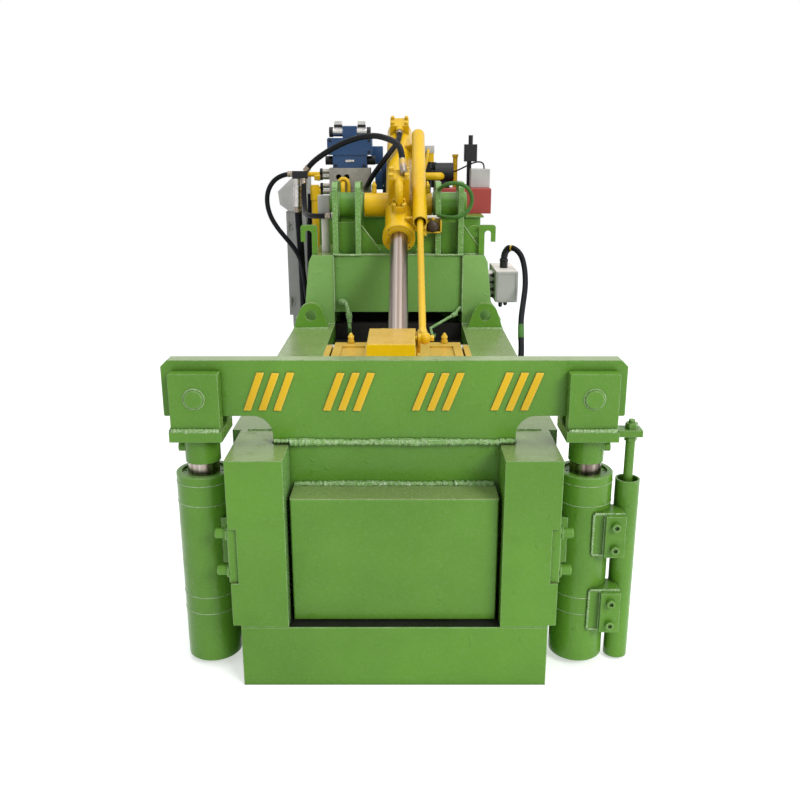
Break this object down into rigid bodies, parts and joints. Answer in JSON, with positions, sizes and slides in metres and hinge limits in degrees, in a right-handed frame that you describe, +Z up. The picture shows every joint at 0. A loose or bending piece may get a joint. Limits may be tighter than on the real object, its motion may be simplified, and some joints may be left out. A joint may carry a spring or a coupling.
{
  "type": "recycling baler",
  "caption": "Hydraulic scrap metal baler with a lifting discharge gate on two side cylinders, a rear-hinged chamber lid with its own inclined cylinder, a main ram and a power pack.",
  "frame": {"origin": "on the floor under the sill, on the centre line, midway between the two gate cylinders", "axes": "+X right seen from the discharge gate, +Y to the rear along the main ram, +Z up"},
  "size_m": [1.4002, 3.528, 1.6513],
  "materials": {
    "green_paint": "glossy enamel",
    "yellow_paint": "glossy enamel",
    "chrome_rod": "ground and chromed",
    "plain_steel": "machined",
    "dark_steel": "worn and greasy",
    "black_rubber": "smooth hose cover",
    "green_rubber": "painted over",
    "blue_paint": "semi-gloss",
    "black_paint": "semi-gloss",
    "grey_paint": "satin",
    "beige_paint": "satin",
    "red_paint": "satin"
  },
  "bodies": {
    "frame": {"columns": "green_paint", "sill_beam": "green_paint", "cylinder_keys": "green_paint", "frame_bolts": "green_paint", "gate_cylinders": "green_paint", "gate_glands": "green_paint", "sensor_tube": "green_paint", "sensor_clamps": "green_paint", "side_wall_left": "green_paint", "side_wall_right": "green_paint", "tower_left": "green_paint", "tower_right": "green_paint", "cross_plates": "green_paint", "bearing_housings": "green_paint", "main_cylinder": "green_paint", "rear_frame": "green_paint", "oil_tank": "green_paint", "wall_liners": "yellow_paint", "steel_pipes": "yellow_paint", "side_valve": "yellow_paint", "lid_hinge_shaft": "plain_steel", "manifold": "plain_steel", "pipe_fittings": "plain_steel", "chamber_floor": "dark_steel", "hose_arch": "black_rubber", "hose_cap_end": "black_rubber", "hose_riser": "black_rubber", "tower_hoses": "black_rubber", "cables": "black_rubber", "green_hose": "green_rubber", "motor": "blue_paint", "main_valve": "blue_paint", "pilot_valve": "blue_paint", "pump": "black_paint", "return_filter": "black_paint", "relief_valve": "black_paint", "terminal_box": "grey_paint", "control_cabinet": "grey_paint", "control_console": "grey_paint", "junction_box": "grey_paint", "switch_post": "beige_paint", "oil_cooler": "red_paint"},
    "gate": {"gate_panel": "green_paint", "gate_beam": "green_paint", "clevises": "green_paint", "clevis_pins": "green_paint", "gate_rods": "chrome_rod", "rod_collars": "green_paint", "sensor_rod": "green_paint"},
    "lid": {"lid_plate": "yellow_paint", "guard_block": "yellow_paint"},
    "lid_barrel": {"lid_cylinder": "yellow_paint", "lid_gland": "yellow_paint", "lid_sensor_tube": "yellow_paint"},
    "lid_rod": {"lid_rod": "chrome_rod", "lid_pin": "yellow_paint", "lid_sensor_rod": "yellow_paint"},
    "main_ram": {"ram_head": "dark_steel", "ram_rod": "chrome_rod"},
    "door": {"cabinet_door": "grey_paint"}
  },
  "joints": [
    {"name": "gate_lift", "type": "slide", "parent": "frame", "child": "gate", "axis": [0, 0, 1], "range_m": [0, 0.45]},
    {"name": "lid_hinge", "type": "hinge", "parent": "frame", "child": "lid", "pos_m": [0, 1.302, 0.66], "axis": [-1, 0, 0], "range_deg": [0, 50]},
    {"name": "lid_cylinder_swing", "type": "hinge", "parent": "frame", "child": "lid_barrel", "pos_m": [0.004, 1.832, 1.235], "axis": [-1, 0, 0], "range_deg": [0, 8.8], "deforming": ["hose_arch", "hose_cap_end"]},
    {"name": "lid_rod_slide", "type": "slide", "parent": "lid_barrel", "child": "lid_rod", "axis": [0, 0.8721, 0.4894], "range_m": [0, 0.26]},
    {"name": "ram_slide", "type": "slide", "parent": "frame", "child": "main_ram", "axis": [0, -1, 0], "range_m": [0, 1.28]},
    {"name": "cabinet_door_hinge", "type": "hinge", "parent": "frame", "child": "door", "pos_m": [-0.5985, 2.4115, 0.85], "axis": [0, 0, 1], "range_deg": [0, 110]}
  ],
  "couplings": [
    {"joint": "lid_cylinder_swing", "follows": "lid_hinge", "ratio": 0.174},
    {"joint": "lid_rod_slide", "follows": "lid_hinge", "m_per_rad": 0.295}
  ]
}
